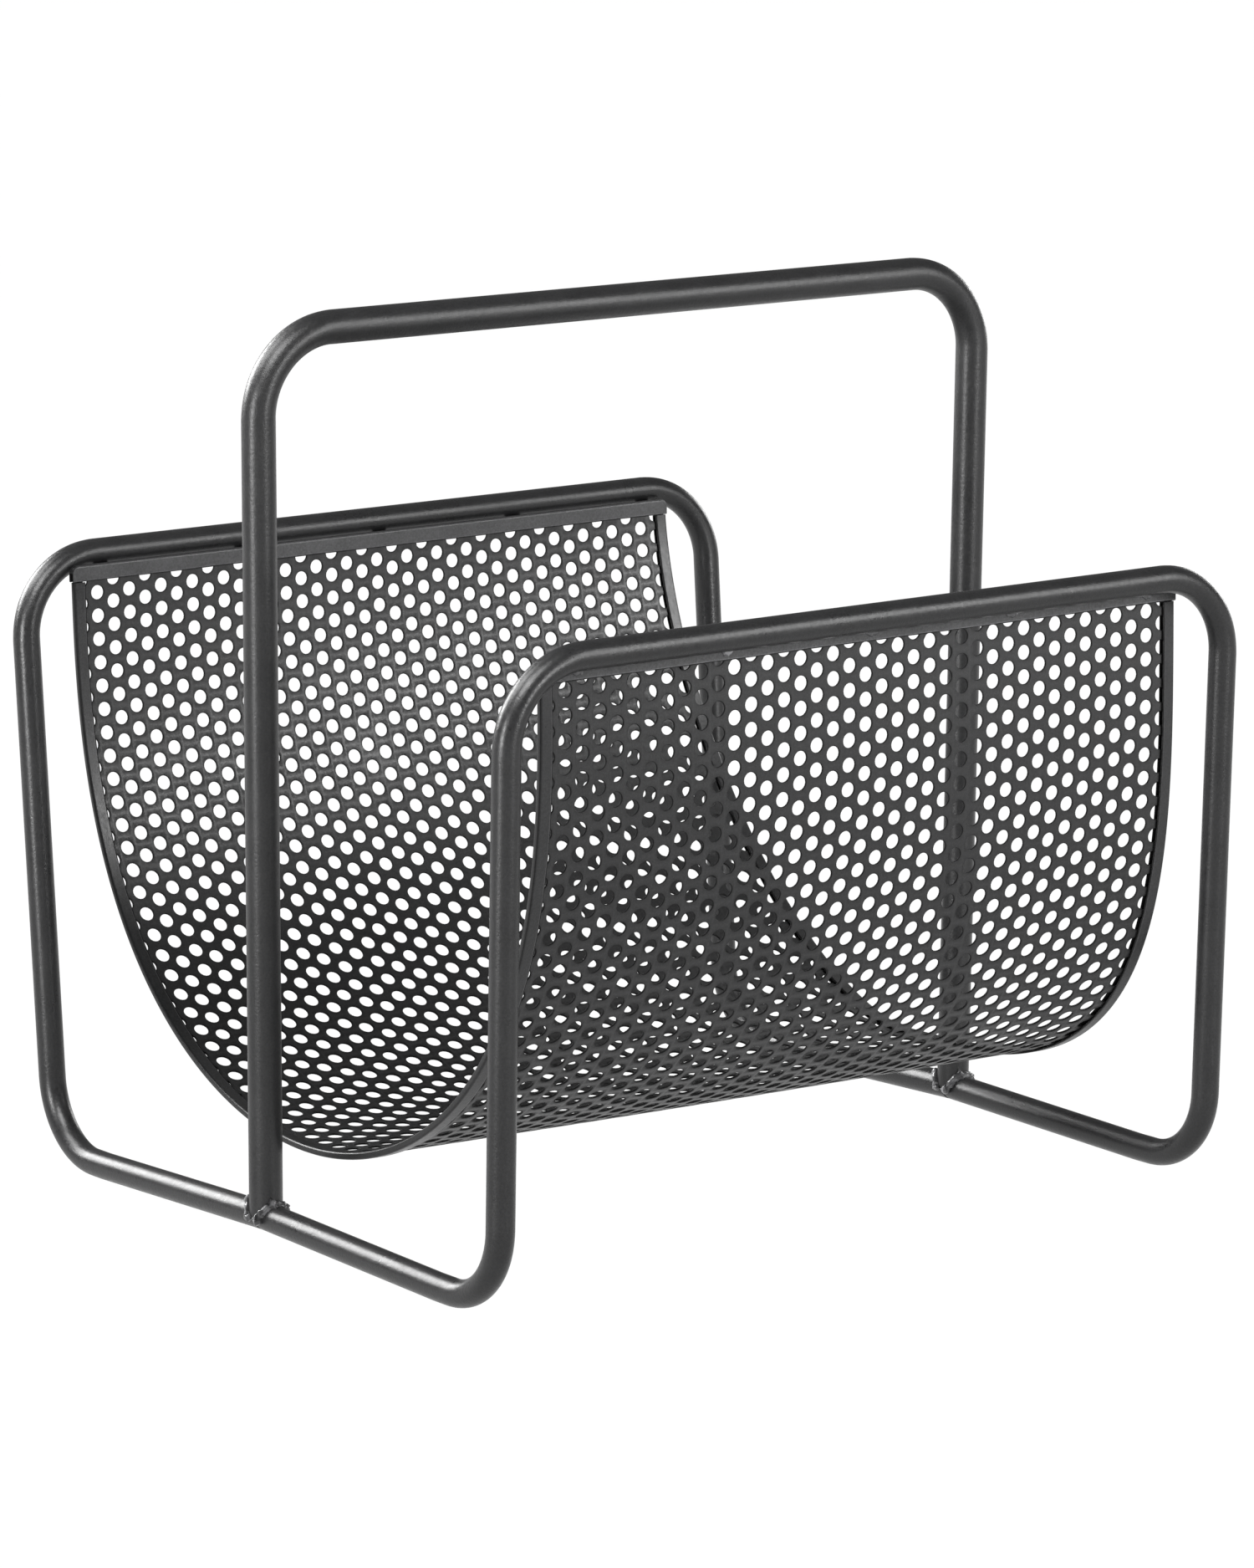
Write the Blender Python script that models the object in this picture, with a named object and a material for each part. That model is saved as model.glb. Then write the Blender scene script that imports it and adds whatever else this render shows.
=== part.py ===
"""Magazine rack: two bent tube arches joined foot to foot, a tube carrying handle standing on the
joints, and a U-shaped perforated sheet that hangs between the two top rails in folded edge channels.

Metres, +Z up. The rack stands on z = 0, and x = 0, y = 0 is midway between the four feet. X runs along
the rails and the handle, Y runs from the front arch (-Y) to the back arch (+Y).
"""

import math

import bmesh
import bpy
import numpy as np
from mathutils import Vector

# Tubes
FRAME_TUBE_D = 0.010
HANDLE_TUBE_D = 0.012
TUBE_WALL = 0.001
TUBE_SIDES = 12
BEND_STEPS = 6

# Arches: each is one tube, from the middle of the left runner over its rail to the right runner.
# The runners drop a little from the joint to the feet, and each foot has a short level length.
RUNNER_SPACING = 0.312
RUNNER_HALF_LENGTH = 0.144
RUNNER_DROP = math.radians(1.6)
FOOT_FLAT = 0.008
ARCH_HEIGHT = 0.220
SPLAY = math.radians(3.0)
BOTTOM_BEND_R = 0.029
TOP_BEND_R = 0.030

# Handle: its legs stand on the two runner joints, flare a little and lean to the front
HANDLE_HEIGHT = 0.314
HANDLE_BEND_R = 0.030
HANDLE_FLARE = 0.002
HANDLE_LEAN = 0.012

# Sling sheet: it hangs a little skew, so its section is a rounded U that changes along the rack, and
# its right edge runs in towards the back. Each pair holds the left end's value and the right end's.
SHEET_THICKNESS = 0.0008
SLING_LEFT_X = -0.139
SLING_WIDTH = 0.276
SLING_TAPER = 0.0055
SLING_HALF_DEPTH = 0.1485
SLING_BOTTOM_Z = (0.0297, 0.0331)
FRONT_SIDE_POWER = (2.00, 3.20)
FRONT_BELLY_POWER = (2.63, 3.50)
BACK_SIDE_POWER = (2.00, 1.64)
BACK_BELLY_POWER = (2.63, 1.64)
SLING_STEPS = 36
SLING_STATIONS = 5
SECTION_SAMPLES = 600

# Edge channels, folded from thin strip round the sheet's four edges
TRIM_WALL = 0.0006
SIDE_TRIM_DEPTH = 0.005
SIDE_TRIM_THICKNESS = 0.0026
TOP_TRIM_HEIGHT = 0.006
TOP_TRIM_THICKNESS = 0.0029
TOP_TRIM_OVERHANG = 0.0004
TOP_TRIM_UNDER_RAIL_AXIS = 0.0032

# Welds
GAP = 0.0003
BUTT_GAP = 0.0018
FOOT_WELD_SIZE = 0.0032
FOOT_WELD_HALF_WIDTH = 0.0044
TACK_SPACING = 0.062
TACK_COUNT = 5
TACK_HALF_LENGTH = 0.0032
TACK_DEPTH = 0.0084

# Shapes of the weld beads, as shares of their own sizes
FOOT_WELD_STATIONS = (-1.0, -0.7, -0.3, 0.3, 0.7, 1.0)
FOOT_WELD_END_ROUNDING = 1.08
FOOT_WELD_FACE = (0.62, 0.68)
TACK_STATIONS = ((-1.0, 0.35), (-0.6, 0.8), (0.0, 1.0), (0.6, 0.8), (1.0, 0.35))
TACK_LIP = (0.15, -0.82)
TACK_ON_RAIL_ANGLES = (78, 60, 42)
TACK_HEART = (0.095, -0.6)

FRAME_R = FRAME_TUBE_D / 2
HANDLE_R = HANDLE_TUBE_D / 2
CORNER_STRETCH = 1 / math.cos(math.pi / TUBE_SIDES)
RUNNER_X = RUNNER_SPACING / 2
FOOT_REACH = BOTTOM_BEND_R * math.tan((math.pi / 2 - SPLAY) / 2) + FOOT_FLAT
RUNNER_SLOPE_LENGTH = (RUNNER_HALF_LENGTH - FOOT_REACH) / math.cos(RUNNER_DROP)
JOINT_Z = FRAME_R + RUNNER_SLOPE_LENGTH * math.sin(RUNNER_DROP)
RAIL_Y = RUNNER_HALF_LENGTH + ARCH_HEIGHT * math.sin(SPLAY)
RAIL_Z = FRAME_R + ARCH_HEIGHT * math.cos(SPLAY)
TRIM_TOP_Z = RAIL_Z - TOP_TRIM_UNDER_RAIL_AXIS
SHEET_TOP_Z = TRIM_TOP_Z - TRIM_WALL - GAP
SIDE_TRIM_START = SHEET_TOP_Z - (TRIM_TOP_Z - TOP_TRIM_HEIGHT - GAP)


# ---------------------------------------------------------------- scene, materials and meshes


def clear_scene():
    for obj in list(bpy.data.objects):
        bpy.data.objects.remove(obj, do_unlink=True)


def coat(name, grey, roughness, metallic):
    """A dark grey powder coat."""
    mat = bpy.data.materials.new(name)
    mat.use_nodes = True
    shader = mat.node_tree.nodes["Principled BSDF"]
    shader.inputs["Base Color"].default_value = (grey, grey, grey * 1.03, 1.0)
    shader.inputs["Roughness"].default_value = roughness
    shader.inputs["Metallic"].default_value = metallic
    mat.diffuse_color = (grey, grey, grey, 1.0)
    return mat


def add_object(name, verts, faces, mat):
    """Makes one smooth-shaded object from points and faces, with its normals facing out."""
    mesh = bpy.data.meshes.new(name)
    mesh.from_pydata([tuple(v) for v in verts], [], faces)
    bm = bmesh.new()
    bm.from_mesh(mesh)
    bmesh.ops.recalc_face_normals(bm, faces=bm.faces)
    bm.to_mesh(mesh)
    bm.free()
    mesh.materials.append(mat)
    mesh.shade_smooth()
    mesh.set_sharp_from_angle(angle=math.radians(40))
    obj = bpy.data.objects.new(name, mesh)
    bpy.context.scene.collection.objects.link(obj)
    return obj


def loft(name, loops, mat):
    """A closed body through equal-sized loops of points, with its two end loops filled."""
    size = len(loops[0])
    verts = [point for loop in loops for point in loop]
    faces = []
    for row in range(len(loops) - 1):
        base = row * size
        for k in range(size):
            k2 = (k + 1) % size
            faces.append((base + k, base + k2, base + size + k2, base + size + k))
    faces.append(tuple(range(size)))
    faces.append(tuple(range(len(verts) - size, len(verts))))
    return add_object(name, verts, faces, mat)


def cut(obj, cutter):
    """Takes the cutter's shape away from the object, and keeps the cutter as a hidden guide."""
    modifier = obj.modifiers.new(cutter.name, "BOOLEAN")
    modifier.operation = "DIFFERENCE"
    modifier.solver = "EXACT"
    modifier.object = cutter
    cutter.hide_render = True
    cutter.display_type = "WIRE"


# ---------------------------------------------------------------- tubes


def rounded_path(corners, radii):
    """A polyline through the corners, with each inner corner turned at its radius. 0 is a kink."""
    path = [corners[0]]
    for i, radius in enumerate(radii, start=1):
        corner = corners[i]
        if radius == 0:
            path.append(corner)
            continue
        back = (corners[i - 1] - corner).normalized()
        ahead = (corners[i + 1] - corner).normalized()
        turn = math.pi - back.angle(ahead)
        centre = corner + (back + ahead).normalized() * (radius / math.cos(turn / 2))
        first = corner + back * (radius * math.tan(turn / 2)) - centre
        along = -back * radius
        for k in range(BEND_STEPS + 1):
            angle = turn * k / BEND_STEPS
            path.append(centre + first * math.cos(angle) + along * math.sin(angle))
    path.append(corners[-1])
    return path


def section_frames(path):
    """For each point of the path, the two vectors that span the tube's mitred section there."""
    frames = []
    across = None
    for i, point in enumerate(path):
        outgoing = (path[i + 1] - point).normalized() if i + 1 < len(path) else incoming
        incoming = outgoing if i == 0 else incoming
        if across is None:
            across = outgoing.cross(Vector((0, 0, 1)))
            across = (across if across.length > 0.5 else Vector((1, 0, 0))).normalized()
            other = outgoing.cross(across).normalized()
        mitre = (incoming + outgoing).normalized()
        share = incoming.dot(mitre)
        spans = [v - incoming * (v.dot(mitre) / share) for v in (across, other)]
        frames.append(spans)
        turned = incoming.rotation_difference(outgoing)
        across = turned @ across
        other = turned @ other
        incoming = outgoing
    return frames


def tube(name, path, radius, mat):
    """An open-ended tube. Its outer flats lie at the radius, and one pair of flats faces up and down."""
    frames = section_frames(path)
    loops = []
    for wall_radius in (radius, radius - TUBE_WALL):
        wall = []
        for point, (across, other) in zip(path, frames):
            loop = []
            for k in range(TUBE_SIDES):
                angle = 2 * math.pi * (k + 0.5) / TUBE_SIDES
                offset = across * math.cos(angle) + other * math.sin(angle)
                loop.append(point + offset * (wall_radius * CORNER_STRETCH))
            wall.append(loop)
        loops.append(wall)
    rings = loops[0] + loops[1][::-1]
    verts = [point for ring in rings for point in ring]
    faces = []
    for row in range(len(rings)):
        base = row * TUBE_SIDES
        ahead = (row + 1) % len(rings) * TUBE_SIDES
        for k in range(TUBE_SIDES):
            k2 = (k + 1) % TUBE_SIDES
            faces.append((base + k, base + k2, ahead + k2, ahead + k))
    return add_object(name, verts, faces, mat)


def arch(name, side, mat):
    """One arch. side is -1 for the front arch and +1 for the back one."""
    legs = []
    for x in (-RUNNER_X, RUNNER_X):
        slope = Vector((0, side * math.cos(RUNNER_DROP), -math.sin(RUNNER_DROP)))
        joint = Vector((x, 0, JOINT_Z))
        toe = Vector((x, side * RUNNER_HALF_LENGTH, FRAME_R))
        rise = Vector((0, side * math.sin(SPLAY), math.cos(SPLAY))) * ARCH_HEIGHT
        legs.append([joint + slope * (BUTT_GAP / 2), joint + slope * RUNNER_SLOPE_LENGTH, toe, toe + rise])
    corners = legs[0] + legs[1][::-1]
    radii = [0, BOTTOM_BEND_R, TOP_BEND_R, TOP_BEND_R, BOTTOM_BEND_R, 0]
    return tube(name, rounded_path(corners, radii), FRAME_R, mat)


def handle(name, mat):
    """The carrying handle: its feet are saddle-cut to sit astride the runners."""
    top_z = JOINT_Z + HANDLE_HEIGHT
    top_x = RUNNER_X + HANDLE_FLARE
    corners = [
        Vector((-RUNNER_X, 0, JOINT_Z)),
        Vector((-top_x, -HANDLE_LEAN, top_z)),
        Vector((top_x, -HANDLE_LEAN, top_z)),
        Vector((RUNNER_X, 0, JOINT_Z)),
    ]
    obj = tube(name, rounded_path(corners, [HANDLE_BEND_R, HANDLE_BEND_R]), HANDLE_R, mat)
    for side, x in (("left", -RUNNER_X), ("right", RUNNER_X)):
        sides = 2 * TUBE_SIDES
        loops = []
        for y in (-2 * HANDLE_R, 2 * HANDLE_R):
            loop = []
            for k in range(sides):
                angle = 2 * math.pi * k / sides
                radius = FRAME_R * CORNER_STRETCH + GAP
                loop.append(Vector((x + radius * math.cos(angle), y, JOINT_Z + radius * math.sin(angle))))
            loops.append(loop)
        cut(obj, loft(side + "_saddle_cutter", loops, mat))
    return obj


# ---------------------------------------------------------------- sling and its edge channels


def at_width(pair, along):
    """The value between the left end's and the right end's, this far along the sheet's width."""
    return pair[0] + (pair[1] - pair[0]) * along / SLING_WIDTH


def sheet_line(along):
    """The sheet's mid-line this far from its left edge, front top edge to back top edge, as (y, z).

    After the short straight ends that the top channels hold, the points are evenly spaced.
    """
    turn = np.linspace(0, math.pi, SECTION_SAMPLES)
    cosine = np.cos(turn)
    front = cosine > 0
    side_power = np.where(front, at_width(FRONT_SIDE_POWER, along), at_width(BACK_SIDE_POWER, along))
    belly_power = np.where(front, at_width(FRONT_BELLY_POWER, along), at_width(BACK_BELLY_POWER, along))
    y = -SLING_HALF_DEPTH * np.sign(cosine) * np.abs(cosine) ** (2 / side_power)
    depth = SHEET_TOP_Z - at_width(SLING_BOTTOM_Z, along)
    z = SHEET_TOP_Z - depth * np.abs(np.sin(turn)) ** (2 / belly_power)
    length = np.concatenate([[0], np.cumsum(np.hypot(np.diff(y), np.diff(z)))])
    knots = np.linspace(SIDE_TRIM_START, length[-1] - SIDE_TRIM_START, SLING_STEPS + 1)
    knots = np.concatenate([[0], knots, [length[-1]]])
    return np.stack([np.interp(knots, length, y), np.interp(knots, length, z)], axis=1)


def plan_x(along, y):
    """Where a point this far along the sheet's width lies in X, at this y."""
    back_share = (y / SLING_HALF_DEPTH + 1) / 2
    return SLING_LEFT_X + along * (1 - back_share * SLING_TAPER / SLING_WIDTH)


def offset_line(along, offset):
    """The sheet's mid-line, moved by the offset along its outward normal, as 3-D points."""
    line = sheet_line(along)
    tangent = np.gradient(line, axis=0)
    tangent /= np.linalg.norm(tangent, axis=1)[:, None]
    normal = np.stack([tangent[:, 1], -tangent[:, 0]], axis=1)
    moved = line + normal * offset
    return [Vector((plan_x(along, line[i, 0]), y, z)) for i, (y, z) in enumerate(moved)]


def sling(name, mat):
    """The sheet without its holes: one closed skin of even thickness."""
    edge = TRIM_WALL + GAP
    loops = []
    for along in np.linspace(edge, SLING_WIDTH - edge, SLING_STATIONS):
        outer = offset_line(along, SHEET_THICKNESS / 2)
        inner = offset_line(along, -SHEET_THICKNESS / 2)
        loops.append(outer + inner[::-1])
    size = len(loops[0])
    verts = [point for loop in loops for point in loop]
    faces = []
    for row in range(SLING_STATIONS - 1):
        base = row * size
        for k in range(size):
            k2 = (k + 1) % size
            faces.append((base + k, base + k2, base + size + k2, base + size + k))
    for base in (0, (SLING_STATIONS - 1) * size):
        for k in range(size // 2 - 1):
            far = size - 1 - k
            faces.append((base + k, base + k + 1, base + far - 1, base + far))
    return add_object(name, verts, faces, mat)


def side_trim(name, side, mat):
    """The U channel folded round one curved edge of the sheet. side is -1 for left and +1 for right."""
    web_out = 0 if side < 0 else SLING_WIDTH
    web_in = web_out - side * TRIM_WALL
    lip = web_out - side * SIDE_TRIM_DEPTH
    out = SIDE_TRIM_THICKNESS / 2
    slot = out - TRIM_WALL
    section = [
        (web_out, -out), (lip, -out), (lip, -slot), (web_in, -slot),
        (web_in, slot), (lip, slot), (lip, out), (web_out, out),
    ]
    lines = [offset_line(along, offset)[1:-1] for along, offset in section]
    return loft(name, [list(loop) for loop in zip(*lines)], mat)


def top_trim(name, side, mat):
    """The U channel folded down over one top edge of the sheet, under its rail."""
    middle = side * SLING_HALF_DEPTH
    out = TOP_TRIM_THICKNESS / 2
    slot = out - TRIM_WALL
    low = TRIM_TOP_Z - TOP_TRIM_HEIGHT
    under = TRIM_TOP_Z - TRIM_WALL
    section = [
        (-out, low), (-out, TRIM_TOP_Z), (out, TRIM_TOP_Z), (out, low),
        (slot, low), (slot, under), (-slot, under), (-slot, low),
    ]
    left = plan_x(0, middle) - TOP_TRIM_OVERHANG
    right = plan_x(SLING_WIDTH, middle) + TOP_TRIM_OVERHANG
    loops = [[Vector((x, middle + y, z)) for y, z in section] for x in (left, right)]
    return loft(name, loops, mat)


# ---------------------------------------------------------------- welds


def butt_weld(name, x, mat):
    """The ring of weld between the two arch ends, under the handle leg."""
    half = BUTT_GAP / 2 - GAP
    path = [Vector((x, -half, JOINT_Z)), Vector((x, half, JOINT_Z))]
    return tube(name, path, FRAME_R, mat)


def foot_weld(name, x, side, mat):
    """A fillet bead in the corner between a handle leg and the top of its runner."""
    leg_r = HANDLE_R * CORNER_STRETCH + GAP
    runner_r = FRAME_R * CORNER_STRETCH + GAP
    loops = []
    for share in FOOT_WELD_STATIONS:
        dx = share * FOOT_WELD_HALF_WIDTH
        y0 = math.sqrt(leg_r**2 - dx**2)
        z0 = JOINT_Z + math.sqrt(runner_r**2 - dx**2)
        size = FOOT_WELD_SIZE * math.sqrt(FOOT_WELD_END_ROUNDING - share**2)
        corners = [(0, 0), (0, size), (FOOT_WELD_FACE[0] * size, FOOT_WELD_FACE[1] * size), (size, 0)]
        loops.append([Vector((x + dx, side * (y0 + dy), z0 + dz)) for dy, dz in corners])
    return loft(name, loops, mat)


def tack(name, x, side, mat):
    """A short tack in the corner under a rail, between the rail and the face of its top channel."""
    rail_r = FRAME_R * CORNER_STRETCH + GAP
    face = SLING_HALF_DEPTH + TOP_TRIM_THICKNESS / 2 + GAP - RAIL_Y
    section = [(face, -TACK_DEPTH)]
    section.append((face + TACK_LIP[0] * TACK_DEPTH, TACK_LIP[1] * TACK_DEPTH))
    for angle in TACK_ON_RAIL_ANGLES:
        turn = math.radians(angle)
        section.append((-rail_r * math.cos(turn), -rail_r * math.sin(turn)))
    section.append((face, -TOP_TRIM_UNDER_RAIL_AXIS))
    heart_y = face + TACK_HEART[0] * TACK_DEPTH
    heart_z = TACK_HEART[1] * TACK_DEPTH
    loops = []
    for share, scale in TACK_STATIONS:
        loop = []
        for y, z in section:
            y = heart_y + (y - heart_y) * scale
            z = heart_z + (z - heart_z) * scale
            loop.append(Vector((x + share * TACK_HALF_LENGTH, side * (RAIL_Y + y), RAIL_Z + z)))
        loops.append(loop)
    return loft(name, loops, mat)


# ---------------------------------------------------------------- the rack


def build():
    clear_scene()
    tube_coat = coat("frame_coat", 0.045, 0.42, 0.35)
    handle_coat = coat("handle_coat", 0.045, 0.40, 0.35)
    sheet_coat = coat("sheet_coat", 0.055, 0.50, 0.25)
    trim_coat = coat("trim_coat", 0.060, 0.48, 0.25)
    weld_coat = coat("weld_coat", 0.050, 0.30, 0.45)
    arch("front_frame_tube", -1, tube_coat)
    arch("back_frame_tube", 1, tube_coat)
    handle("handle_tube", handle_coat)
    sling("perforated_sling", sheet_coat)
    for side_name, side in (("left", -1), ("right", 1)):
        side_trim(side_name + "_side_trim", side, trim_coat)
        butt_weld(side_name + "_butt_weld", side * RUNNER_X, weld_coat)
        for face_name, face in (("front", -1), ("back", 1)):
            foot_weld(f"{side_name}_foot_weld_{face_name}", side * RUNNER_X, face, weld_coat)
    for face_name, face in (("front", -1), ("back", 1)):
        top_trim(face_name + "_top_trim", face, trim_coat)
        for i in range(TACK_COUNT):
            x = (i - (TACK_COUNT - 1) / 2) * TACK_SPACING
            tack(f"{face_name}_tack_weld_{i + 1}", x, face, weld_coat)


build()
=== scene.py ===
"""Looks of the magazine rack: smooth tubes, a sheet with its real holes, folded edge channels and
lumpy welds in powder coat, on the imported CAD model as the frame.

Metres, +Z up, in the CAD model's own frame. Every piece stands for one CAD node, in its place.
"""

import math

import bmesh
import bpy
import numpy as np
from mathutils import Matrix, Vector


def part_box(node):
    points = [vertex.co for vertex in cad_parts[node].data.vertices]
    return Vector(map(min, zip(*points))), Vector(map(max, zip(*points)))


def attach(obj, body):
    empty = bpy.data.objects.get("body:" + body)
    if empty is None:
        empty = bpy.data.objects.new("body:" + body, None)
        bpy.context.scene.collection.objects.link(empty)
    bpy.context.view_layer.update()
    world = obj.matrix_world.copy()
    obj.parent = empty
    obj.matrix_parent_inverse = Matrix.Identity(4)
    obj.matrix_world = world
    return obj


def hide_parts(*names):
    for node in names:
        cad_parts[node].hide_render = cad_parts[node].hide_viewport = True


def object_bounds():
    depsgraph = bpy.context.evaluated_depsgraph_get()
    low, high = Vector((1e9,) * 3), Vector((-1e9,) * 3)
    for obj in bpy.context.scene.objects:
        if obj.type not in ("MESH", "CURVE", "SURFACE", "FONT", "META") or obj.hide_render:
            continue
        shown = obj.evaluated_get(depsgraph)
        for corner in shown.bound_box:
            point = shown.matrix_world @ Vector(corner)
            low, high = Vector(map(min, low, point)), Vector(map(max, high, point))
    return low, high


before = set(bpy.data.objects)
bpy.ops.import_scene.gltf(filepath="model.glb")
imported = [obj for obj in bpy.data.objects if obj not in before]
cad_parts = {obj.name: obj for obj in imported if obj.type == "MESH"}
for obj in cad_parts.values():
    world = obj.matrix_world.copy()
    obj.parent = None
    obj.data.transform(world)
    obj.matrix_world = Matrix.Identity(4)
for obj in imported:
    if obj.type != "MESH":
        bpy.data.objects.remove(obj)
cad_low, cad_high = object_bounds()

# ---------------------------------------------------------------- sizes, as in the CAD design

FRAME_R = 0.005
HANDLE_R = 0.006
RUNNER_HALF_LENGTH = 0.144
RUNNER_DROP = math.radians(1.6)
FOOT_FLAT = 0.008
ARCH_HEIGHT = 0.220
SPLAY = math.radians(3.0)
BOTTOM_BEND_R = 0.029
TOP_BEND_R = 0.030
HANDLE_HEIGHT = 0.314
HANDLE_BEND_R = 0.030
HANDLE_FLARE = 0.002
HANDLE_LEAN = 0.012
SHEET_THICKNESS = 0.0008
SLING_LEFT_X = -0.139
SLING_WIDTH = 0.276
SLING_TAPER = 0.0055
SLING_HALF_DEPTH = 0.1485
SLING_BOTTOM_Z = (0.0297, 0.0331)
FRONT_SIDE_POWER = (2.00, 3.20)
FRONT_BELLY_POWER = (2.63, 3.50)
BACK_SIDE_POWER = (2.00, 1.64)
BACK_BELLY_POWER = (2.63, 1.64)
TRIM_WALL = 0.0006
SIDE_TRIM_DEPTH = 0.005
SIDE_TRIM_HALF = 0.0013
TOP_TRIM_HEIGHT = 0.006
TOP_TRIM_HALF = 0.00145
GAP = 0.0003
BUTT_HALF_GAP = 0.0009
TACK_SPACING = 0.062
TACK_COUNT = 5

joint_low, joint_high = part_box("left_butt_weld")
RUNNER_X = -(joint_low.x + joint_high.x) / 2
JOINT_Z = (joint_low.z + joint_high.z) / 2
FOOT_REACH = BOTTOM_BEND_R * math.tan((math.pi / 2 - SPLAY) / 2) + FOOT_FLAT
RUNNER_SLOPE_LENGTH = (RUNNER_HALF_LENGTH - FOOT_REACH) / math.cos(RUNNER_DROP)
RAIL_Y = RUNNER_HALF_LENGTH + ARCH_HEIGHT * math.sin(SPLAY)
RAIL_Z = FRAME_R + ARCH_HEIGHT * math.cos(SPLAY)
TRIM_TOP_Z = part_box("front_top_trim")[1].z
SHEET_TOP_Z = TRIM_TOP_Z - TRIM_WALL - GAP
SIDE_TRIM_START = SHEET_TOP_Z - (TRIM_TOP_Z - TOP_TRIM_HEIGHT - GAP)

# Perforation: straight columns of holes down the sheet, each column shifted against its neighbours
COLUMN_COUNT = 39
FIRST_COLUMN = 0.0036
COLUMN_PITCH = 0.00703
FIRST_HOLE = 0.0079
LAST_HOLE = 0.0098
HOLE_STEPS = 61
COLUMN_SHIFT = 0.437
HOLE_R = 0.00264
RIM_ROUND = 0.00036
HOLE_SIDES = 18

# Tubes
TUBE_SIDES = 56
BEND_STEPS = 26
BEND_FLATTEN = 0.035
SADDLE_SINK = 0.0002

# ---------------------------------------------------------------- materials

# Pattern scales, in cycles per metre
GRAIN_SCALE = 1350
PEEL_SCALE = 850
SPECK_SCALE = 520
GLINT_PATCH_SCALE = 260
MOTTLE_SCALE = 70
SCUFF_AREA_SCALE = 32
CLOUD_SCALE = 9
SCUFF_STRETCH = (900, 900, 60)
SCUFF_TURN = (0.4, 0.9, 0.2)
SPECK_TONE = 2.2
BUMP_DEPTH = 0.00012
COAT_SPECULAR = 0.33
COAT_TINT = (1.0, 1.0, 1.03)


def node(tree, kind, **values):
    """A new node with these values on its sockets or, where it has no such socket, on itself."""
    made = tree.nodes.new(kind)
    for key, value in values.items():
        if key in made.inputs:
            made.inputs[key].default_value = value
        else:
            setattr(made, key, value)
    return made


def noise(tree, coordinates, scale, detail, rough=0.5):
    made = node(tree, "ShaderNodeTexNoise", Scale=scale, Detail=detail, Roughness=rough)
    tree.links.new(coordinates, made.inputs["Vector"])
    return made.outputs["Fac"]


def remap(tree, value, low, high, new_low, new_high):
    """The value moved from one range to another and held inside it."""
    made = tree.nodes.new("ShaderNodeMapRange")
    limits = (("From Min", low), ("From Max", high), ("To Min", new_low), ("To Max", new_high))
    for name, number in limits:
        made.inputs[name].default_value = number
    tree.links.new(value, made.inputs["Value"])
    return made.outputs["Result"]


def combine(tree, operation, first, second):
    """A sum or product of two values, each a number or another node's output."""
    made = node(tree, "ShaderNodeMath", operation=operation)
    for socket, value in zip(made.inputs, (first, second)):
        if isinstance(value, (int, float)):
            socket.default_value = value
        else:
            tree.links.new(value, socket)
    return made.outputs[0]


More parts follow.
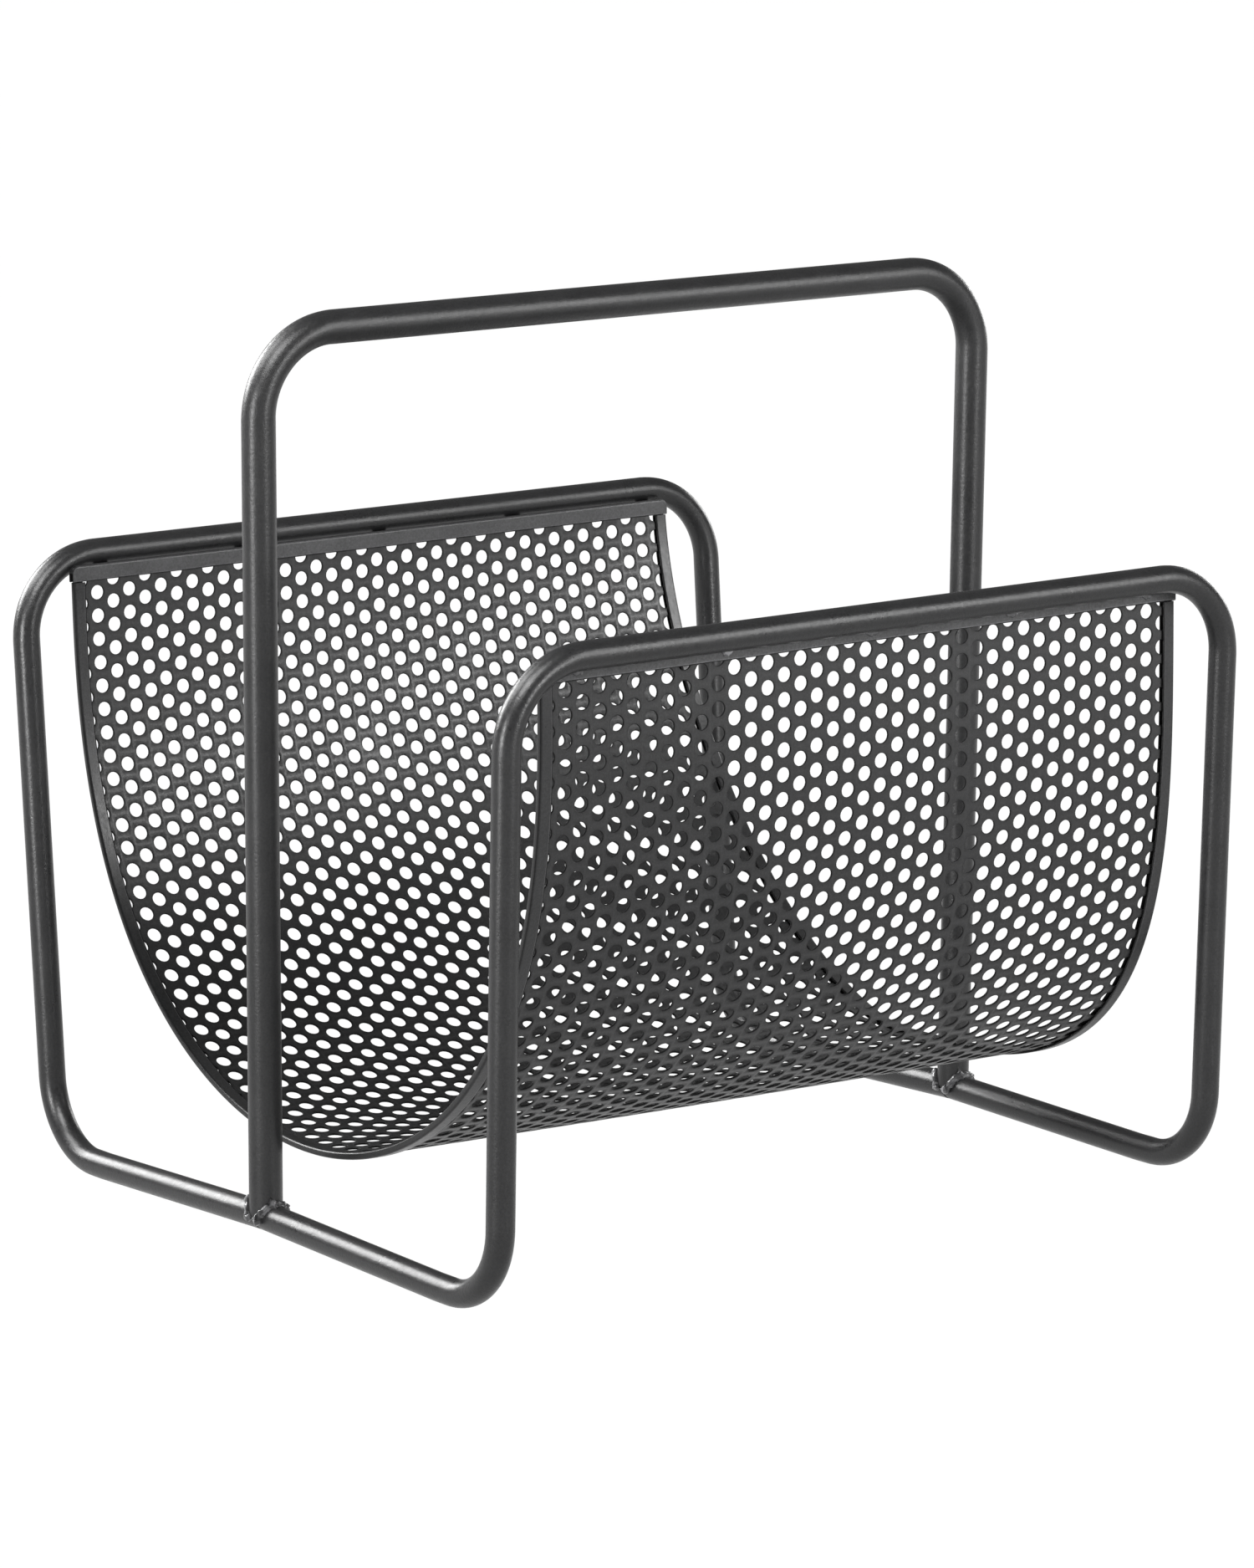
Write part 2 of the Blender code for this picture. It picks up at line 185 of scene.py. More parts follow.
def powder_coat(name, grey, roughness, texture, scuffs=0.5, painted_glints=0.0, rim=False):
    """A dark satin powder coat: orange-peel grain, specks, soft mottling and a few faint scuffs.

    Painted glints are light patches on a weld that stand in for its highlights. A mesh with a "rim"
    attribute is darker and duller where it is 1, as painted shade round a hole, inside a channel
    and a little at its folds, and lighter where it is -1, as a painted highlight along a channel's
    lip.
    """
    mat = bpy.data.materials.new(name)
    mat.use_nodes = True
    tree = mat.node_tree
    shader = tree.nodes["Principled BSDF"]
    place = node(tree, "ShaderNodeTexCoord").outputs["Object"]
    grain = noise(tree, place, GRAIN_SCALE, 2.0, 0.6)
    peel = noise(tree, place, PEEL_SCALE, 2.0)
    mottle = noise(tree, place, MOTTLE_SCALE, 3.0)
    cloud = noise(tree, place, CLOUD_SCALE, 2.0)

    # Colour: grain and slow mottling round the coat's grey
    tone = remap(tree, grain, 0.3, 0.7, 0.72, 1.28)
    tone = combine(tree, "MULTIPLY", tone, remap(tree, mottle, 0.3, 0.7, 0.90, 1.10))
    tone = combine(tree, "MULTIPLY", tone, remap(tree, cloud, 0.3, 0.7, 0.94, 1.06))

    # Specks: lighter grains at the middle of some cells of a fine cell noise
    cells = node(tree, "ShaderNodeTexVoronoi", Scale=SPECK_SCALE)
    tree.links.new(place, cells.inputs["Vector"])
    speck = remap(tree, cells.outputs["Distance"], 0.10, 0.02, 0.0, 1.0)
    chosen = node(tree, "ShaderNodeSeparateColor")
    tree.links.new(cells.outputs["Color"], chosen.inputs[0])
    rare = remap(tree, chosen.outputs[0], 0.80, 0.92, 0.0, 1.0)
    speck = combine(tree, "MULTIPLY", speck, rare)
    tone = combine(tree, "ADD", tone, combine(tree, "MULTIPLY", speck, SPECK_TONE))

    # Scuffs: faint lighter strokes from stretched noise
    stretch = node(tree, "ShaderNodeMapping")
    stretch.inputs["Scale"].default_value = SCUFF_STRETCH
    stretch.inputs["Rotation"].default_value = SCUFF_TURN
    tree.links.new(place, stretch.inputs["Vector"])
    stroke = noise(tree, stretch.outputs["Vector"], 1.0, 1.0)
    area = noise(tree, place, SCUFF_AREA_SCALE, 1.0)
    area = remap(tree, area, 0.56, 0.64, 0, 1)
    scuff = combine(tree, "MULTIPLY", remap(tree, stroke, 0.70, 0.78, 0, 1), area)
    scuff = combine(tree, "MULTIPLY", scuff, scuffs)
    tone = combine(tree, "ADD", tone, scuff)
    # Painted glints: light patches that stand in for the highlights on a weld's facets
    if painted_glints:
        glint_paint = remap(tree, noise(tree, place, GLINT_PATCH_SCALE, 1.0), 0.50, 0.60, 0.0, painted_glints)
        tone = combine(tree, "ADD", tone, glint_paint)
    # Darker where the rim value is 1: painted shade round and in the holes and inside the channels,
    # and a dark line in a joint's groove. Lighter where it is -1: a painted highlight along the
    # channels' lips
    if rim:
        edge = node(tree, "ShaderNodeAttribute", attribute_name="rim").outputs["Fac"]
        tone = combine(tree, "MULTIPLY", tone, remap(tree, edge, 0.0, 1.0, 1.0, 0.2))
        tone = combine(tree, "MULTIPLY", tone, remap(tree, edge, -1.0, 0.0, 3.0, 1.0))

    colour = node(tree, "ShaderNodeCombineColor")
    for index, tint in enumerate(COAT_TINT):
        tree.links.new(combine(tree, "MULTIPLY", tone, grey * tint), colour.inputs[index])
    tree.links.new(colour.outputs[0], shader.inputs["Base Color"])

    rough = remap(tree, peel, 0.3, 0.7, roughness - 0.05, roughness + 0.05)
    rough = combine(tree, "ADD", rough, remap(tree, mottle, 0.3, 0.7, -0.03, 0.03))
    if rim:
        rough = combine(tree, "MULTIPLY", rough, remap(tree, edge, 0.0, 1.0, 1.0, 2.5))
    tree.links.new(rough, shader.inputs["Roughness"])

    height = combine(tree, "ADD", grain, peel)
    height = combine(tree, "MULTIPLY", height, 0.6)
    height = combine(tree, "ADD", height, combine(tree, "MULTIPLY", speck, 0.1))
    bump = node(tree, "ShaderNodeBump", Strength=texture, Distance=BUMP_DEPTH)
    tree.links.new(height, bump.inputs["Height"])
    tree.links.new(bump.outputs[0], shader.inputs["Normal"])
    shader.inputs["Specular IOR Level"].default_value = COAT_SPECULAR
    return mat


# Grey, roughness and texture of each coat
tube_coat = powder_coat("tube powder coat", 0.010, 0.33, 0.68)
handle_coat = powder_coat("handle powder coat", 0.010, 0.36, 0.75, scuffs=0.8)
sheet_coat = powder_coat("sheet powder coat", 0.021, 0.37, 0.35, scuffs=0.4, rim=True)
trim_coat = powder_coat("trim powder coat", 0.022, 0.34, 0.35, rim=True)
# Painted light: the top channels' coat is a lighter copy of the trim coat, for the light that falls
# on them
top_trim_coat_painted_lighter = powder_coat("top trim powder coat painted lighter", 0.060, 0.36, 0.35, rim=True)
# Painted highlight: the weld coat is a light grey with light patches that stand in for its glints
weld_coat_with_painted_glints = powder_coat("weld powder coat with painted glints", 0.090, 0.16, 0.30, scuffs=0.0, painted_glints=2.2)

# ---------------------------------------------------------------- meshes


def make_piece(name, verts, faces, mat, replaces, sharp):
    """One closed piece that rides on the rack and stands for its CAD nodes.

    It is shaded smooth, but for edges that turn by more than the sharp angle, in degrees, if any.
    """
    mesh = bpy.data.meshes.new(name)
    mesh.from_pydata([tuple(v) for v in verts], [], [tuple(int(i) for i in f) for f in faces])
    bm = bmesh.new()
    bm.from_mesh(mesh)
    bmesh.ops.recalc_face_normals(bm, faces=bm.faces)
    bm.to_mesh(mesh)
    bm.free()
    mesh.materials.append(mat)
    mesh.shade_smooth()
    if sharp:
        mesh.set_sharp_from_angle(angle=math.radians(sharp))
    obj = bpy.data.objects.new(name, mesh)
    bpy.context.scene.collection.objects.link(obj)
    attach(obj, "root")
    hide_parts(*replaces)
    return obj


def loft_piece(name, loops, mat, replaces, sharp=50):
    """A closed piece that joins rings of points in turn, with a cap on the first and the last."""
    size = len(loops[0])
    last = (len(loops) - 1) * size
    faces = []
    for base in range(0, last, size):
        ahead = base + size
        for k in range(size):
            k2 = (k + 1) % size
            faces.append((base + k, base + k2, ahead + k2, ahead + k))
    faces.append(tuple(range(size)))
    faces.append(tuple(range(last, last + size)))
    verts = [v for loop in loops for v in loop]
    return make_piece(name, verts, faces, mat, replaces, sharp)


def unit(v):
    return v / np.linalg.norm(v)


def rounded_path(corners, radii):
    """Points through the corners with each turn rounded.

    With each point come its share of the bend's full flattening and the direction it flattens in.
    """
    path = [corners[0]]
    bend = [0.0]
    squash = [np.zeros(3)]
    for i, radius in enumerate(radii, start=1):
        corner = corners[i]
        if radius == 0:
            path.append(corner)
            bend.append(0.0)
            squash.append(np.zeros(3))
            continue
        back = unit(corners[i - 1] - corner)
        ahead = unit(corners[i + 1] - corner)
        turn = math.pi - math.acos(float(np.clip(back @ ahead, -1, 1)))
        centre = corner + unit(back + ahead) * (radius / math.cos(turn / 2))
        first = corner + back * (radius * math.tan(turn / 2)) - centre
        along = -back * radius
        for k in range(BEND_STEPS + 1):
            angle = turn * k / BEND_STEPS
            point = centre + first * math.cos(angle) + along * math.sin(angle)
            path.append(point)
            bend.append(math.sin(math.pi * k / BEND_STEPS) ** 0.5)
            squash.append(unit(point - centre))
    path.append(corners[-1])
    bend.append(0.0)
    squash.append(np.zeros(3))
    return np.array(path), np.array(bend), np.array(squash)


def section_rings(path, bend, squash, radius):
    """Round sections along the path, a little flattened in each bend as a bent tube is.

    At a sharp corner the section is stretched to the mitre, so the tube keeps its diameter.
    """
    rings = []
    tangents = [unit(path[i + 1] - path[i]) for i in range(len(path) - 1)]
    across = None
    for i, point in enumerate(path):
        incoming = tangents[max(i - 1, 0)]
        outgoing = tangents[min(i, len(tangents) - 1)]
        tangent = unit(incoming + outgoing)
        if across is None:
            across = np.cross(tangent, (0, 0, 1.0))
            across = unit(across) if np.linalg.norm(across) > 0.5 else np.array((1.0, 0, 0))
        across = unit(across - tangent * (across @ tangent))
        other = np.cross(tangent, across)
        stretch = 1 / max(0.3, incoming @ tangent)
        turn = outgoing - incoming
        ring = []
        for k in range(TUBE_SIDES):
            angle = 2 * math.pi * k / TUBE_SIDES
            offset = (across * math.cos(angle) + other * math.sin(angle)) * radius
            if np.linalg.norm(turn) > 1e-6:
                direction = unit(turn)
                offset = offset + direction * (offset @ direction) * (stretch - 1)
            offset = offset - squash[i] * (offset @ squash[i]) * BEND_FLATTEN * bend[i]
            ring.append(point + offset)
        rings.append(ring)
    return rings


def tube_piece(name, corners, radii, radius, mat, slot, replaces, shape_end=None):
    """One bent tube. The shape_end function moves the points of its two end sections."""
    path, bend, squash = rounded_path(corners, radii)
    rings = section_rings(path, bend, squash, radius)
    if shape_end:
        rings[0] = [shape_end(v) for v in rings[0]]
        rings[-1] = [shape_end(v) for v in rings[-1]]
    return loft_piece(name, rings, mat, replaces)


def arch_piece(name, side, replaced):
    """One arch: half of each runner, two splayed posts and the rail between them."""
    legs = []
    for x in (-RUNNER_X, RUNNER_X):
        slope = np.array((0, side * math.cos(RUNNER_DROP), -math.sin(RUNNER_DROP)))
        joint = np.array((x, 0, JOINT_Z))
        toe = np.array((x, side * RUNNER_HALF_LENGTH, FRAME_R))
        rise = np.array((0, side * math.sin(SPLAY), math.cos(SPLAY))) * ARCH_HEIGHT
        start = joint + slope * BUTT_HALF_GAP
        legs.append([start, joint + slope * RUNNER_SLOPE_LENGTH, toe, toe + rise])
    radii = [0, BOTTOM_BEND_R, TOP_BEND_R, TOP_BEND_R, BOTTOM_BEND_R, 0]
    corners = legs[0] + legs[1][::-1]
    return tube_piece(name, corners, radii, FRAME_R, tube_coat, "frame_coat", [replaced])


def saddle(vertex):
    """Lifts a point of a handle leg's end to the top half of the runner it stands on."""
    dx = abs(vertex[0]) - RUNNER_X
    lift = math.sqrt(max(FRAME_R**2 - dx**2, 0.0)) - SADDLE_SINK
    return np.array((vertex[0], vertex[1], JOINT_Z + max(lift, -SADDLE_SINK)))


def handle_piece():
    """The tall inverted U that stands on the two runners and leans a little to the front."""
    top_z = JOINT_Z + HANDLE_HEIGHT
    top_x = RUNNER_X + HANDLE_FLARE
    corners = [
        np.array((-RUNNER_X, 0, JOINT_Z)),
        np.array((-top_x, -HANDLE_LEAN, top_z)),
        np.array((top_x, -HANDLE_LEAN, top_z)),
        np.array((RUNNER_X, 0, JOINT_Z)),
    ]
    radii = [HANDLE_BEND_R, HANDLE_BEND_R]
    finish = handle_coat, "handle_coat"
    return tube_piece("handle", corners, radii, HANDLE_R, *finish, ["handle_tube"], saddle)


# ---------------------------------------------------------------- the sheet's surface

# Sections across the sheet, points down each, and steps that its curve is measured in
STATIONS = 47
SAMPLES = 1401
SECTION_STEPS = 6001
LAST_CELL = 1e-9


def share_of(pair, along):
    """The value at this distance from the left edge, from those at the left and right edges."""
    return pair[0] + (pair[1] - pair[0]) * along / SLING_WIDTH


def sheet_section(along):
    """The sheet's mid-line at this distance from its left edge, evenly spaced, and its length."""
    turn = np.linspace(0, math.pi, SECTION_STEPS)
    cosine = np.cos(turn)
    front = cosine > 0
    front_powers = share_of(FRONT_SIDE_POWER, along), share_of(FRONT_BELLY_POWER, along)
    back_powers = share_of(BACK_SIDE_POWER, along), share_of(BACK_BELLY_POWER, along)
    side_power = np.where(front, front_powers[0], back_powers[0])
    belly_power = np.where(front, front_powers[1], back_powers[1])
    y = -SLING_HALF_DEPTH * np.sign(cosine) * np.abs(cosine) ** (2 / side_power)
    depth = SHEET_TOP_Z - share_of(SLING_BOTTOM_Z, along)
    z = SHEET_TOP_Z - depth * np.abs(np.sin(turn)) ** (2 / belly_power)
    length = np.concatenate([[0], np.cumsum(np.hypot(np.diff(y), np.diff(z)))])
    knots = np.linspace(0, length[-1], SAMPLES)
    return np.interp(knots, length, y), np.interp(knots, length, z), length[-1]


station_along = np.linspace(0, SLING_WIDTH, STATIONS)
sections = [sheet_section(a) for a in station_along]
grid_y, grid_z, grid_length = (np.array(part) for part in zip(*sections))
back_share = (grid_y / SLING_HALF_DEPTH + 1) / 2
grid_x = SLING_LEFT_X + station_along[:, None] * (1 - back_share * SLING_TAPER / SLING_WIDTH)
grid = np.stack([grid_x, grid_y, grid_z], axis=2)
slope_across = np.gradient(grid, axis=0)
slope_down = np.gradient(grid, axis=1)
grid_normal = np.cross(slope_down, slope_across)
grid_normal /= np.linalg.norm(grid_normal, axis=2)[:, :, None]
if grid_normal[STATIONS // 2, 0, 1] > 0:
    grid_normal = -grid_normal


def look_up(table, along, distance):
    """Bilinear value of a surface table at points given in metres across and down the sheet."""
    u = np.asarray(along) / SLING_WIDTH * (STATIONS - 1)
    u = np.clip(u, 0, STATIONS - 1 - LAST_CELL)
    length = np.interp(along, station_along, grid_length)
    v = np.asarray(distance) / length * (SAMPLES - 1)
    v = np.clip(v, 0, SAMPLES - 1 - LAST_CELL)
    u0 = u.astype(int)
    v0 = v.astype(int)
    fu = (u - u0)[..., None]
    fv = (v - v0)[..., None]
    top = table[u0, v0] * (1 - fv) + table[u0, v0 + 1] * fv
    low = table[u0 + 1, v0] * (1 - fv) + table[u0 + 1, v0 + 1] * fv
    return top * (1 - fu) + low * fu


def on_sheet(along, distance, offset=0.0):
    """3-D points on the sheet's mid-surface, moved out by the offset, with the outward normals."""
    normal = look_up(grid_normal, along, distance)
    normal /= np.linalg.norm(normal, axis=-1)[..., None]
    return look_up(grid, along, distance) + normal * np.asarray(offset)[..., None], normal


# ---------------------------------------------------------------- the perforated sheet

LEFT_EDGE_GAP = 0.00015
ROW_DIGITS = 9
ROW_TOLERANCE = 1e-7
HOLE_ANGLES = 2 * math.pi * np.arange(HOLE_SIDES) / HOLE_SIDES

# Rings of points from a skin down into a hole: radius, share of the thickness from the mid-line,
# rim value (painted shade, darkest on the wall), and the part of the skin's own normal in the
# shading
ROUND_SHARE = 0.3
HALF_RINGS = (
    (HOLE_R + RIM_ROUND, 0.5, 0.40, 1.0),
    (HOLE_R + RIM_ROUND * ROUND_SHARE, 0.5 - RIM_ROUND * ROUND_SHARE / SHEET_THICKNESS, 0.8, 0.707),
    (HOLE_R, 0.5 - RIM_ROUND / SHEET_THICKNESS, 1.0, 0.0),
)
HOLE_RINGS = [(1, *ring) for ring in HALF_RINGS] + [(-1, *ring) for ring in HALF_RINGS[::-1]]


class SheetSkin:
    """The points and faces of the sheet's closed skin, laid out flat.

    A point has a place across the sheet, a row of the hole lattice down it, and a share of the
    thickness from its mid-line. One on a hole's wall also has its angle, lean and side there.
    """

    def __init__(self):
        self.across = []
        self.rows = []
        self.offsets = []
        self.rims = []
        self.holes = []
        self.faces = []

    def add(self, across, row, offset, rim=0.0, hole=None):
        self.across.append(across)
        self.rows.append(row)
        self.offsets.append(offset)
        self.rims.append(rim)
        self.holes.append(hole)
        return len(self.across) - 1


def row_distance(along, row):
    """Distance down the sheet of a lattice row, and the pitch of the rows there.

    Rows are evenly spaced over the sheet's own length.
    """
    pitch = (np.interp(along, station_along, grid_length) - FIRST_HOLE - LAST_HOLE) / HOLE_STEPS
    return FIRST_HOLE + np.asarray(row) * pitch, pitch


def column_middle(column):
    """How far a column of holes lies from the sheet's left edge."""
    return FIRST_COLUMN + COLUMN_PITCH * column


def hole_lattice(pitch):
    """The borders of the columns of holes, and each column's hole rows and the cuts between."""
    edge_row = (GAP - FIRST_HOLE) / pitch
    end_row = HOLE_STEPS - edge_row - (FIRST_HOLE - LAST_HOLE) / pitch
    borders = [TRIM_WALL + LEFT_EDGE_GAP]
    for column in range(COLUMN_COUNT - 1):
        borders.append(column_middle(column + 0.5))
    borders.append(SLING_WIDTH - TRIM_WALL - GAP)
    columns = []
    for column in range(COLUMN_COUNT):
        if column % 2:
            centres = np.arange(HOLE_STEPS + 1, dtype=float)
        else:
            centres = np.arange(HOLE_STEPS + 2) - COLUMN_SHIFT
        cuts = np.concatenate([[edge_row], (centres[1:] + centres[:-1]) / 2, [end_row]])
        columns.append((centres, cuts))
    return borders, columns


def add_borders(skin, borders, columns):
    """Adds the points on each border, and gives their rows and their numbers on the two skins."""
    border_rows = []
    border_ids = []
    for b, across in enumerate(borders):
        rows = set()
        for _, cuts in columns[max(b - 1, 0) : b + 1]:
            rows.update(np.round(cuts, ROW_DIGITS).tolist())
        rows = sorted(rows)
        border_rows.append(np.array(rows))
        border_ids.append([[skin.add(across, row, side) for row in rows] for side in (0.5, -0.5)])
    return border_rows, border_ids


def cell_outline(borders, border_rows, column, centre, low, high, pitch):
    """The border points round one hole's cell as (angle, border, index), in order of angle."""
    middle = column_middle(column)
    outline = []
    for b in (column, column + 1):
        rows = border_rows[b]
        inside = (rows >= low - ROW_TOLERANCE) & (rows <= high + ROW_TOLERANCE)
        for i in np.nonzero(inside)[0]:
            angle = math.atan2((rows[i] - centre) * pitch, borders[b] - middle)
            outline.append((angle % (2 * math.pi), b, i))
    return sorted(outline)


def add_hole(skin, middle, centre, pitch):
    """Adds one hole's wall with its rounded rims, and gives its outermost ring on each skin."""
    rings = []
    for side, radius, depth, rim, lean in HOLE_RINGS:
        ring = []
        for angle in HOLE_ANGLES:
            across = middle + radius * math.cos(angle)
            row = centre + radius * math.sin(angle) / pitch
            ring.append(skin.add(across, row, side * depth, rim, (angle, lean, side)))
        rings.append(ring)
    for upper, lower in zip(rings, rings[1:]):
        for k in range(HOLE_SIDES):
            k2 = (k + 1) % HOLE_SIDES
            skin.faces.append((upper[k], upper[k2], lower[k2], lower[k]))
    return rings[0], rings[-1]


def stitch(inner, outer):
    """Triangles between a ring of points and the outline round it, both in order of angle."""
    faces = []
    m, n = len(inner), len(outer)
    start = min(range(n), key=lambda j: abs(outer[j][0] - inner[0][0]))
    behind = 2 * math.pi if outer[start][0] > math.pi else 0
    i = j = 0
    while i < m or j < n:
        a, b = inner[i % m][1], outer[(start + j) % n][1]
        inner_turns, next_inner = divmod(i + 1, m)
        outer_turns, next_outer = divmod(start + j + 1, n)
        inner_angle = inner[next_inner][0] + 2 * math.pi * inner_turns
        outer_angle = outer[next_outer][0] + 2 * math.pi * outer_turns - behind
        if j >= n or (i < m and inner_angle <= outer_angle):
            faces.append((a, b, inner[next_inner][1]))
            i += 1
        else:
            faces.append((a, b, outer[next_outer][1]))
            j += 1
    return faces


def close_edges(skin, border_ids):
    """Adds the faces between the two skins along the sheet's four edges."""
    for b in (0, -1):
        upper, lower = border_ids[b]
        for i in range(len(upper) - 1):
            quad = (upper[i], upper[i + 1], lower[i + 1], lower[i])
            skin.faces.append(quad if b else quad[::-1])
    for end in (0, -1):
        for near, far in zip(border_ids, border_ids[1:]):
            quad = (near[0][end], far[0][end], far[1][end], near[1][end])
            skin.faces.append(quad[::-1] if end else quad)


def bend_skin(skin):
    """The skin's points bent to the sling's shape, and their shading normals.

    Away from the holes the normal is the surface's own. Round a hole it turns over into the hole.
    """
    along = np.array(skin.across)
    distance = row_distance(along, np.array(skin.rows))[0]
    offsets = np.array(skin.offsets)
    points, normal = on_sheet(along, distance, offsets * SHEET_THICKNESS)
    shading = np.where(offsets[:, None] > 0, normal, -normal)
    walls = [i for i, hole in enumerate(skin.holes) if hole is not None]
    angle, lean, side = np.array([skin.holes[i] for i in walls]).T
    step_across = look_up(slope_across, along[walls], distance[walls])
    step_down = look_up(slope_down, along[walls], distance[walls])
    step_across /= np.linalg.norm(step_across, axis=1)[:, None]
    step_down /= np.linalg.norm(step_down, axis=1)[:, None]
    inward = -(step_across * np.cos(angle)[:, None] + step_down * np.sin(angle)[:, None])
    mixed = normal[walls] * (lean * side)[:, None] + inward * np.sqrt(1 - lean**2)[:, None]
    shading[walls] = mixed / np.linalg.norm(mixed, axis=1)[:, None]
    return points, shading


def perforated_sheet():
    """The sling with every hole cut and its rim rounded, as one closed skin of even thickness."""
    skin = SheetSkin()
    pitch = float(np.mean(row_distance(station_along, 0)[1]))
    borders, columns = hole_lattice(pitch)
    border_rows, border_ids = add_borders(skin, borders, columns)
    for column, (centres, cuts) in enumerate(columns):
        cuts = [round(row, ROW_DIGITS) for row in cuts]
        for centre, low, high in zip(centres, cuts, cuts[1:]):
            cell = cell_outline(borders, border_rows, column, centre, low, high, pitch)
            rings = add_hole(skin, column_middle(column), centre, pitch)
            for side, ring in enumerate(rings):
                outline = [(angle, border_ids[b][side][i]) for angle, b, i in cell]
                fan = stitch(list(zip(HOLE_ANGLES, ring)), outline)
                skin.faces.extend([corners[::-1] for corners in fan] if side else fan)
    close_edges(skin, border_ids)
    points, shading = bend_skin(skin)
    replaced = ["perforated_sling"]
    obj = make_piece("sling", points, skin.faces, sheet_coat, replaced, sharp=0)
    # The rim values paint shade round each hole and on its wall
    set_rim(obj, skin.rims)
    obj.data.normals_split_custom_set_from_vertices(shading.tolist())
    return obj


# ---------------------------------------------------------------- edge channels

FOLD_R = 0.0008
FOLD_STEPS = 5
LIP_R = 0.00022
LIP_STEP = 0.00032
LIP_SLIP = 0.00001
LIP_TUCK = 0.0001
INNER_BEVEL = 0.0003
WAVY_FROM = 0.8
CHANNEL_SHARP = 32
SIDE_TRIM_STATION = 0.0016
TOP_TRIM_STATION = 0.003
TOP_TRIM_CORNER_R = 0.0024
TOP_TRIM_CORNER_STEPS = 7


def channel_section(depth, half, wall):
    """Outline of a folded U channel, as (distance in from the fold, offset, rim value).

    Its two folds are rounded. Each lip ends in a fine recessed step. The step and the inside of the
    channel are painted dark as shade, the folds a little, and the lip's own edge is painted light
    as a highlight.
    """
    edge = depth - LIP_STEP
    # Rim values: 1 paints shade on the step and inside the channel, -0.6 and -0.4 paint a highlight
    # on the lip
    side = [
        (depth, half - wall + LIP_TUCK, 1.0),
        (depth, half - LIP_R, 1.0),
        (edge, half - LIP_R, 0.9),
        (edge - LIP_SLIP, half - LIP_R * 0.9, 0.0),
        (edge - LIP_R * 0.4, half - LIP_R * 0.25, -0.6),
        (edge - LIP_R, half, -0.4),
        (edge - 2.2 * LIP_R, half, 0.0),
        (FOLD_R * 1.25, half, 0.0),
    ]
    section = [(inset, -lift, dark) for inset, lift, dark in side]
    for sign, start in ((-1, 1.5 * math.pi), (1, math.pi)):
        for k in range(FOLD_STEPS + 1):
            angle = start - k / FOLD_STEPS * math.pi / 2
            inset = FOLD_R + FOLD_R * math.cos(angle)
            section.append((inset, sign * (half - FOLD_R) + FOLD_R * math.sin(angle), 0.1))
    section += side[::-1]
    inside = half - wall
    inner = [(depth - LIP_TUCK, inside), (wall + INNER_BEVEL, inside), (wall, inside - INNER_BEVEL)]
    section += [(inset, lift, 1.0) for inset, lift in inner]
    section += [(inset, -lift, 1.0) for inset, lift in inner[::-1]]
    return section


def set_rim(obj, values):
    """Gives the mesh the "rim" attribute that its powder coat reads, a value for each point."""
    attribute = obj.data.attributes.new("rim", "FLOAT", "POINT")
    attribute.data.foreach_set("value", np.array(values, dtype=np.float32))


def side_trim_piece(name, side, replaced):
    """The channel folded round the sheet's curved left or right edge, with slightly wavy lips."""
    section = channel_section(SIDE_TRIM_DEPTH, SIDE_TRIM_HALF, TRIM_WALL)
    insets, lifts, rims = (np.array(part) for part in zip(*section))
    length = grid_length[0 if side < 0 else -1]
    distances = np.arange(SIDE_TRIM_START, length - SIDE_TRIM_START, SIDE_TRIM_STATION)
    distances = np.append(distances, length - SIDE_TRIM_START)
    wave = 0.00006 * np.sin(distances * 61 + side) + 0.00004 * np.sin(distances * 173 + 2 * side)
    loops = []
    for distance, ripple in zip(distances, wave):
        inset = np.where(insets > SIDE_TRIM_DEPTH * WAVY_FROM, insets + ripple, insets)
        along = inset if side < 0 else SLING_WIDTH - inset
        share = distance / length
        here = np.interp(along, station_along, grid_length) * share
        loops.append(on_sheet(along, here, lifts)[0])
    obj = loft_piece(name, loops, trim_coat, [replaced], sharp=CHANNEL_SHARP)
    set_rim(obj, np.tile(rims, len(loops)))
    return obj


def top_trim_piece(name, side, replaced):
    """The channel folded over the sheet's front or back edge, with rounded upper corners."""
    section = channel_section(TOP_TRIM_HEIGHT, TOP_TRIM_HALF, TRIM_WALL)
    low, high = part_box(replaced)
    middle = (low.y + high.y) / 2
    corner = TOP_TRIM_CORNER_R
    turns = np.linspace(0, math.pi / 2, TOP_TRIM_CORNER_STEPS + 1)
    ends = [corner * (1 - math.cos(turn)) for turn in turns]
    stations = [low.x + end for end in ends]
    first = low.x + corner + TOP_TRIM_STATION
    stations += list(np.arange(first, high.x - corner - 0.001, TOP_TRIM_STATION))
    stations += [high.x - end for end in ends[::-1]]
    loops = []
    for x in stations:
        reach = min(x - low.x, high.x - x, corner)
        drop = corner - math.sqrt(max(corner**2 - (corner - reach) ** 2, 0))
        ripple = 0.00007 * math.sin(x * 47 + side) + 0.00005 * math.sin(x * 139 + 2)
        loop = []
        for inset, lift, _ in section:
            if inset > TOP_TRIM_HEIGHT * WAVY_FROM:
                inset = min(inset + ripple, TOP_TRIM_HEIGHT)
            z = TRIM_TOP_Z - drop - inset * (1 - drop / TOP_TRIM_HEIGHT)
            loop.append((x, middle + side * lift, z))
        loops.append(loop)
    obj = loft_piece(name, loops, top_trim_coat_painted_lighter, [replaced], sharp=CHANNEL_SHARP)
    set_rim(obj, [rim for _, _, rim in section] * len(loops))
    return obj


# ---------------------------------------------------------------- welds

